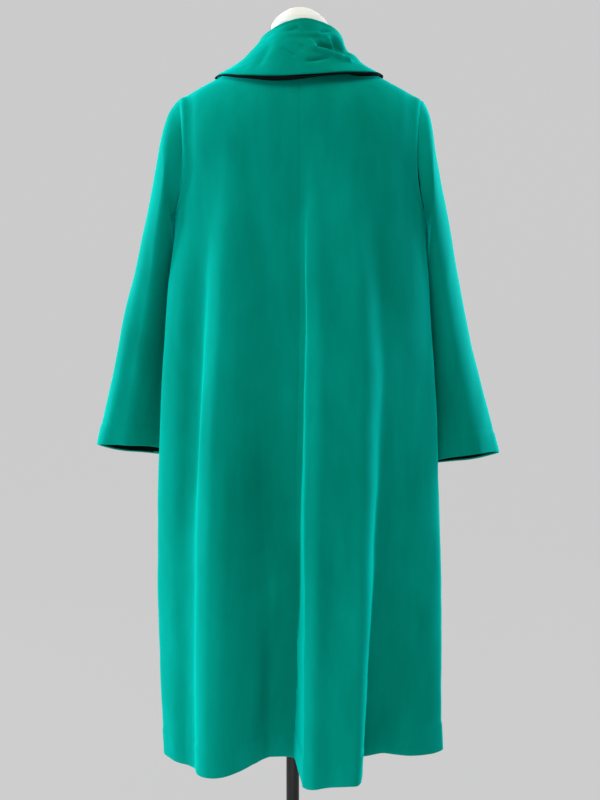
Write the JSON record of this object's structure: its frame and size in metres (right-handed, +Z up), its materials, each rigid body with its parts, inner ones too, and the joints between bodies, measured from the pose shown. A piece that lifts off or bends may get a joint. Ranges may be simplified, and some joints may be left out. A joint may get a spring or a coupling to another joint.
{
  "type": "coat on dress form",
  "caption": "Long loose velvet evening coat with wide sleeves and a high draped collar, hanging open on a limbless dress form with a pole and a round base.",
  "frame": {"origin": "on the floor, on the axis of the dress form's pole, at the underside of the round base", "axes": "+Z up, +X to the wearer's left, +Y to the wearer's back, the side that the picture shows"},
  "size_m": [0.6892, 0.4112, 1.516],
  "materials": {
    "velvet": "emerald green cotton or rayon velvet with a soft sheen",
    "jersey": "matt off-white cloth cover",
    "black_metal": "satin black enamel"
  },
  "bodies": {
    "root": {"back_left": "velvet", "back_right": "velvet", "front_left": "velvet", "front_right": "velvet", "sleeve_left": "velvet", "sleeve_right": "velvet", "collar": "velvet", "form_torso": "jersey", "pole": "black_metal", "pole_flange": "black_metal", "base_plate": "black_metal"}
  },
  "joints": []
}
